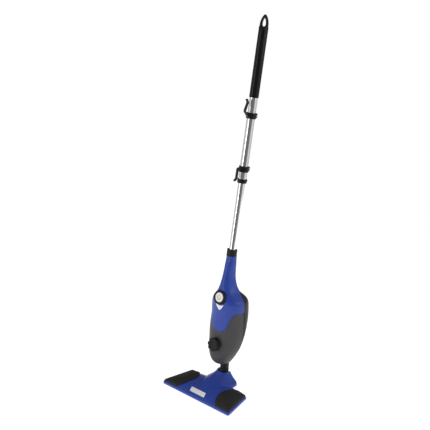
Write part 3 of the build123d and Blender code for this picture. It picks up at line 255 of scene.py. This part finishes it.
def mix_colours(tree, factor, first, second):
    mix = tree.nodes.new("ShaderNodeMix")
    mix.data_type = "RGBA"
    tree.links.new(factor, mix.inputs["Factor"])
    for socket, colour in ((mix.inputs["A"], first), (mix.inputs["B"], second)):
        if isinstance(colour, tuple):
            socket.default_value = (*colour, 1)
        else:
            tree.links.new(colour, socket)
    return mix.outputs["Result"]


def edge_mask(tree, radius):
    """A mask, 1 along the object's edges and 0 on its open faces, and a normal rounded at them."""
    softened = tree.nodes.new("ShaderNodeBevel")
    softened.samples = 4
    softened.inputs["Radius"].default_value = radius
    surface = tree.nodes.new("ShaderNodeNewGeometry")
    likeness = tree.nodes.new("ShaderNodeVectorMath")
    likeness.operation = "DOT_PRODUCT"
    tree.links.new(softened.outputs["Normal"], likeness.inputs[0])
    tree.links.new(surface.outputs["Normal"], likeness.inputs[1])
    spread = range_node(tree, likeness.outputs["Value"], 1.0, 0.0, 0.86, 0.99)
    return spread, softened.outputs["Normal"]


def bump_node(tree, height, strength, distance, normal=None):
    bump = tree.nodes.new("ShaderNodeBump")
    bump.inputs["Strength"].default_value = strength
    bump.inputs["Distance"].default_value = distance
    tree.links.new(height, bump.inputs["Height"])
    if normal is not None:
        tree.links.new(normal, bump.inputs["Normal"])
    return bump.outputs["Normal"]


def scaled(colour, factor):
    return tuple(min(1.0, channel * factor) for channel in colour)


def moulded(name, colour, roughness, grain=900.0, grain_depth=0.00004, variation=0.10,
            wear=1.35, coat=0.0, cells=False, edge=0.0006, shine=0.22):
    """Moulded plastic or rubber: cloudy colour, fine skin texture, polished and paler edges."""
    material, tree, shader = new_material(name)
    coordinates = object_coordinates(tree)
    cloud = noise_node(tree, coordinates, scale=14, detail=4)
    scuff = noise_node(tree, coordinates, scale=120, detail=6, roughness=0.7)
    colour_field = ramp_node(
        tree, cloud, [(0.3, scaled(colour, 1 - variation)), (0.7, scaled(colour, 1 + variation))]
    )
    worn, soft_normal = edge_mask(tree, edge)
    amount = math_node(tree, "MULTIPLY", worn, range_node(tree, scuff, 0.15, 0.75))
    tree.links.new(
        mix_colours(tree, amount, colour_field, scaled(colour, wear)), shader.inputs["Base Color"]
    )
    tree.links.new(
        range_node(tree, scuff, roughness * 0.85, roughness * 1.2), shader.inputs["Roughness"]
    )
    fine = (cells_node if cells else noise_node)(tree, coordinates, grain)
    tree.links.new(
        bump_node(tree, fine, 0.5, grain_depth, soft_normal), shader.inputs["Normal"]
    )
    shader.inputs["Specular IOR Level"].default_value = shine
    shader.inputs["Coat Weight"].default_value = coat
    shader.inputs["Coat Roughness"].default_value = 0.12
    return material


def metal(name, colour, roughness, lean=0.0, stretch=(1, 1, 1), streaks=900.0, depth=0.00001,
          variation=0.04, edge=0.0004):
    """Drawn, turned or cast metal: streaks that run with the tool, and a cloudy polish."""
    material, tree, shader = new_material(name)
    cloud = noise_node(tree, object_coordinates(tree), scale=22, detail=4)
    lines = noise_node(tree, object_coordinates(tree, lean, stretch), scale=streaks, detail=2)
    colour_field = ramp_node(
        tree, cloud, [(0.3, scaled(colour, 1 - variation)), (0.7, scaled(colour, 1 + variation))]
    )
    tree.links.new(colour_field, shader.inputs["Base Color"])
    tree.links.new(
        range_node(tree, lines, roughness * 0.8, roughness * 1.25), shader.inputs["Roughness"]
    )
    _, soft_normal = edge_mask(tree, edge)
    tree.links.new(bump_node(tree, lines, 0.35, depth, soft_normal), shader.inputs["Normal"])
    shader.inputs["Metallic"].default_value = 1.0
    return material


def clear_plastic(name, colour, roughness):
    """Milky see-through plastic with faint flow marks."""
    material, tree, shader = new_material(name)
    coordinates = object_coordinates(tree, stretch=(1, 1, 0.3))
    flow = noise_node(tree, coordinates, scale=40, detail=4, distortion=0.6)
    tree.links.new(
        ramp_node(tree, flow, [(0.3, scaled(colour, 0.92)), (0.7, colour)]),
        shader.inputs["Base Color"],
    )
    tree.links.new(range_node(tree, flow, roughness, roughness * 1.6), shader.inputs["Roughness"])
    tree.links.new(bump_node(tree, flow, 0.2, 0.0001), shader.inputs["Normal"])
    shader.inputs["Transmission Weight"].default_value = 0.75
    shader.inputs["IOR"].default_value = 1.49
    return material


def circuit_board(name):
    """Green laminate with paler copper tracks under the mask."""
    material, tree, shader = new_material(name)
    coordinates = object_coordinates(tree, BODY_LEAN)
    tracks = cells_node(tree, coordinates, 260, "DISTANCE_TO_EDGE")
    tree.links.new(
        ramp_node(tree, tracks, [(0.05, (0.06, 0.30, 0.12)), (0.12, (0.02, 0.14, 0.05))]),
        shader.inputs["Base Color"],
    )
    tree.links.new(bump_node(tree, tracks, 0.3, 0.0001), shader.inputs["Normal"])
    shader.inputs["Roughness"].default_value = 0.35
    return material


def wound_wire(name):
    """Lacquered copper wire, wound side by side round the pump's axis, with painted shade in the grooves between
    the turns.
    """
    material, tree, shader = new_material(name)
    coordinates = object_coordinates(tree, BODY_LEAN)
    wave = tree.nodes.new("ShaderNodeTexWave")
    wave.bands_direction = "X"
    wave.inputs["Scale"].default_value = 160
    wave.inputs["Distortion"].default_value = 0.4
    tree.links.new(coordinates, wave.inputs["Vector"])
    # Painted shade: each turn is bright copper on its crest and dark brown in the groove, following the bump's
    # height.
    tree.links.new(
        ramp_node(tree, wave.outputs["Fac"], [(0.1, (0.16, 0.05, 0.02)), (0.8, (0.55, 0.22, 0.09))]),
        shader.inputs["Base Color"],
    )
    tree.links.new(bump_node(tree, wave.outputs["Fac"], 0.6, 0.0003), shader.inputs["Normal"])
    shader.inputs["Metallic"].default_value = 0.8
    shader.inputs["Roughness"].default_value = 0.35
    return material


def microfibre(name, colour):
    """Looped microfibre: a dense nap in short tufts, patchy soiling, and painted shade in the hollows between the
    tufts.
    """
    material, tree, shader = new_material(name)
    coordinates = object_coordinates(tree)
    tufts = cells_node(tree, coordinates, 420)
    fibres = noise_node(tree, object_coordinates(tree, stretch=(1, 3, 1)), 1600, 4, 0.7)
    soil = noise_node(tree, coordinates, 24, 5)
    base = ramp_node(tree, soil, [(0.35, scaled(colour, 0.90)), (0.65, colour)])
    # Painted shade: the colour darkens towards each tuft cell's edge, where the bump below sinks into a hollow.
    tree.links.new(
        mix_colours(tree, range_node(tree, tufts, 0.0, 0.5, 0.2, 0.9), base, scaled(colour, 0.72)),
        shader.inputs["Base Color"],
    )
    height = math_node(tree, "SUBTRACT", fibres, tufts)
    tree.links.new(bump_node(tree, height, 0.8, 0.0006), shader.inputs["Normal"])
    shader.inputs["Roughness"].default_value = 0.92
    shader.inputs["Sheen Weight"].default_value = 0.5
    shader.inputs["Sheen Roughness"].default_value = 0.4
    return material


def woven_tape(name, colour, scale=900.0):
    """Woven binding tape or hook tape."""
    material, tree, shader = new_material(name)
    coordinates = object_coordinates(tree)
    checks = tree.nodes.new("ShaderNodeTexBrick")
    checks.inputs["Scale"].default_value = scale
    checks.inputs["Mortar Size"].default_value = 0.12
    checks.inputs["Color1"].default_value = (*scaled(colour, 1.15), 1)
    checks.inputs["Color2"].default_value = (*scaled(colour, 0.85), 1)
    checks.inputs["Mortar"].default_value = (*scaled(colour, 0.45), 1)
    tree.links.new(coordinates, checks.inputs["Vector"])
    tree.links.new(checks.outputs["Color"], shader.inputs["Base Color"])
    tree.links.new(bump_node(tree, checks.outputs["Fac"], 0.6, 0.0003), shader.inputs["Normal"])
    shader.inputs["Roughness"].default_value = 0.85
    return material


# ----------------------------------------------------------------------------
# Materials of the mop, by the record's slots
# ----------------------------------------------------------------------------
BLUE = (0.026, 0.062, 0.37)
GREY = (0.068, 0.068, 0.071)
BLACK = (0.013, 0.013, 0.013)


def make_materials():
    return {
        "blue_cover": moulded("blue_gloss", BLUE, 0.36, grain=700, grain_depth=0.00002,
                              variation=0.06, wear=1.4, coat=0.06, shine=0.3),
        "grey_cover": moulded("grey_satin", GREY, 0.42, variation=0.08, wear=1.5),
        "black_housing": moulded("black_satin", BLACK, 0.40, wear=2.0),
        "dark_pad": moulded("ribbed_rubber", (0.024, 0.023, 0.022), 0.58, grain=1100,
                            grain_depth=0.00012, wear=1.6, cells=True),
        "white_face": moulded("white_gloss", (0.93, 0.93, 0.90), 0.30, variation=0.03, wear=0.92),
        "mark_grey": moulded("printed_grey", (0.20, 0.20, 0.21), 0.45),
        "knob_black": moulded("black_semi_gloss", (0.010, 0.010, 0.010), 0.34, wear=2.2),
        "grip_black": moulded("grip_gloss", (0.008, 0.008, 0.009), 0.26, wear=2.2, shine=0.18),
        "tube_metal": metal("polished_tube", (0.90, 0.90, 0.91), 0.16, TUBE_LEAN,
                            stretch=(1, 1, 0.02), depth=0.000002),
        "steel": metal("zinc_steel", (0.56, 0.56, 0.58), 0.32, streaks=500),
        "spring_steel": metal("spring_steel", (0.44, 0.43, 0.42), 0.28, TUBE_LEAN, (1, 1, 0.05)),
        "boiler_cast": metal("cast_aluminium", (0.50, 0.50, 0.51), 0.5, streaks=300,
                             depth=0.0003, variation=0.12),
        "element_sheath": metal("oxidised_sheath", (0.30, 0.26, 0.22), 0.42, BODY_LEAN, (1, 1, 0.1),
                                variation=0.2),
        "copper": wound_wire("copper_winding"),
        "tank_clear": clear_plastic("tank_plastic", (0.72, 0.80, 0.88), 0.12),
        "inner_plastic": moulded("natural_plastic", (0.55, 0.54, 0.50), 0.45, variation=0.05,
                                 wear=1.2),
        "board_green": circuit_board("laminate_board"),
        "hose_rubber": moulded("clear_silicone", (0.62, 0.61, 0.57), 0.38, grain=400, wear=1.1),
        "steam_rubber": moulded("red_silicone", (0.26, 0.030, 0.018), 0.45, grain=400, wear=1.4),
        "pad_fabric": microfibre("microfibre_nap", (0.66, 0.68, 0.71)),
        "hook_tape": woven_tape("hook_tape", (0.02, 0.02, 0.022), 1400),
        "foot_rubber": moulded("foot_rubber", (0.02, 0.02, 0.02), 0.65, grain=1400,
                               grain_depth=0.0001, wear=1.8, cells=True),
    }


def paint_nodes(materials):
    """Every CAD node gets the procedural material of its slot."""
    for entry in frame["record"]["subparts"]:
        mesh = nodes[entry["node"]].data
        material = materials[entry["material_slot"]]
        if not mesh.materials:
            mesh.materials.append(material)
        for index in range(len(mesh.materials)):
            mesh.materials[index] = material


# ----------------------------------------------------------------------------
# Microfibre pad
# ----------------------------------------------------------------------------
PAD_COLUMNS = 260
PAD_ROWS = 110
CROWDING = 0.35          # how much closer together the columns stand at the ends
END_SHARE = 0.004
SAME_POINT = 0.00001     # outline points nearer than this are one
QUILT_PITCH = 0.022
QUILT_WIDTH = 0.0016
QUILT_DEPTH = 0.0009
HEM_WIDTH = 0.009
HEM_SINK = 0.21          # depth of the flat hem, as a share of the quilting's
STITCH_WIDTH = 0.0008
TOP_QUILTING = 0.4       # depth of the quilting on the upper face, as a share of the lower's
ROUNDED_WIDTH = 0.0022
EDGE_ROUNDING = 0.0014
TIP_GAP = 0.00001        # kept free at the outline's left and right ends
FLOOR_GAP = 0.0002
TOP_GAP = 0.0001
PILE_DEPTH = 0.00014
PILE_DENSITY = 900


def pad_outline():
    """The CAD pad's own outline, seen from above, in metres."""
    spots = [(nodes["microfibre_pad"].matrix_world @ vertex.co).to_2d()
             for vertex in nodes["microfibre_pad"].data.vertices]
    points = []
    for index in geometry.convex_hull_2d(spots):
        if not points or (spots[index] - points[-1]).length > SAME_POINT:
            points.append(spots[index])
    return points


def span_at(points, x):
    """Lowest and highest y of a convex outline at an x."""
    crossings = []
    for first, second in zip(points, points[1:] + points[:1]):
        if min(first.x, second.x) <= x <= max(first.x, second.x) and first.x != second.x:
            t = (x - first.x) / (second.x - first.x)
            crossings.append(first.y + (second.y - first.y) * t)
    return min(crossings), max(crossings)


def quilt_line(x, y):
    """How deep a point lies in the pad's diagonal stitching: 1 on a line, 0 away from it."""
    depth = 0.0
    for diagonal in (x + y, x - y):
        off = abs((diagonal / QUILT_PITCH) % 1.0 - 0.5) * QUILT_PITCH
        depth = max(depth, math.exp(-((off / QUILT_WIDTH) ** 2)))
    return depth


def edge_distance(points, x, y):
    """How far a point of the pad lies from its outline."""
    place = Vector((x, y))
    distances = []
    for first, second in zip(points, points[1:] + points[:1]):
        along = second - first
        t = max(0.0, min(1.0, (place - first).dot(along) / along.length_squared))
        distances.append((place - first - along * t).length)
    return min(distances)


def column_place(share):
    """Share of the pad's width at which a column of vertices stands, closer together at the ends."""
    crowded = 0.5 - 0.5 * math.cos(math.pi * (END_SHARE + (1 - 2 * END_SHARE) * share))
    return CROWDING * crowded + (1 - CROWDING) * share


def add_sheet_faces(mesh, bottom, top):
    """Faces of the two sheets, and the walls that close them along all four sides."""
    for column in range(PAD_COLUMNS):
        for row in range(PAD_ROWS):
            for sheet in (bottom, top):
                mesh.faces.new((
                    sheet[column][row], sheet[column][row + 1],
                    sheet[column + 1][row + 1], sheet[column + 1][row],
                ))
    for row in (0, PAD_ROWS):
        for column in range(PAD_COLUMNS):
            mesh.faces.new((
                bottom[column][row], bottom[column + 1][row],
                top[column + 1][row], top[column][row],
            ))
    for column in (0, PAD_COLUMNS):
        for row in range(PAD_ROWS):
            mesh.faces.new((
                bottom[column][row], bottom[column][row + 1],
                top[column][row + 1], top[column][row],
            ))
    bmesh.ops.recalc_face_normals(mesh, faces=mesh.faces)


def make_pad(materials):
    """Quilted microfibre pad with a flat hem, pressed between the floor and the sole."""
    outline = pad_outline()
    top_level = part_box("microfibre_pad")[1].z
    left = min(point.x for point in outline)
    right = max(point.x for point in outline)
    mesh = bmesh.new()
    sheets = []
    for side in (0, 1):
        grid = []
        for column in range(PAD_COLUMNS + 1):
            x = left + (right - left) * column_place(column / PAD_COLUMNS)
            x = max(left + TIP_GAP, min(right - TIP_GAP, x))
            front, back = span_at(outline, x)
            line = []
            for row in range(PAD_ROWS + 1):
                y = front + (back - front) * row / PAD_ROWS
                inside = edge_distance(outline, x, y)
                rounding = min(1.0, inside / ROUNDED_WIDTH)
                swell = math.sqrt(max(0.0, 1 - (1 - rounding) ** 2))
                hem = HEM_SINK if inside < HEM_WIDTH else 0.0
                quilt = quilt_line(x, y) if inside > HEM_WIDTH else 0.0
                stitch = math.exp(-(((inside - HEM_WIDTH) / STITCH_WIDTH) ** 2))
                pile = PILE_DEPTH * noise.noise(Vector((x * PILE_DENSITY, y * PILE_DENSITY, side * 7.0)))
                sink = QUILT_DEPTH * max(quilt, stitch, hem)
                if side == 0:
                    z = FLOOR_GAP + EDGE_ROUNDING * (1 - swell) + (sink + abs(pile)) * swell
                else:
                    z = top_level - TOP_GAP - EDGE_ROUNDING * (1 - swell)
                    z -= (TOP_QUILTING * sink + abs(pile)) * swell
                line.append(mesh.verts.new((x, y, z)))
            grid.append(line)
        sheets.append(grid)
    add_sheet_faces(mesh, *sheets)
    data = bpy.data.meshes.new("floor_pad")
    mesh.to_mesh(data)
    mesh.free()
    pad = bpy.data.objects.new("floor_pad", data)
    bpy.context.scene.collection.objects.link(pad)
    data.polygons.foreach_set("use_smooth", [True] * len(data.polygons))
    data.materials.append(materials["pad_fabric"])
    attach(pad, "head")
    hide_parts("microfibre_pad")


# ----------------------------------------------------------------------------
# Put the scene together
# ----------------------------------------------------------------------------
make_camera()
make_world()
make_softbox("left_softbox", azimuth=-17, elevation=12, distance=2.4, width=0.4, height=2.2, power=12)
make_softbox("right_softbox", azimuth=104, elevation=12, distance=2.4, width=0.3, height=2.2, power=8)
make_softbox("top_softbox", azimuth=43, elevation=75, distance=2.6, width=1.8, height=1.2, power=7)
make_floor()
materials = make_materials()
paint_nodes(materials)
make_pad(materials)
bpy.context.scene.view_settings.view_transform = "Standard"
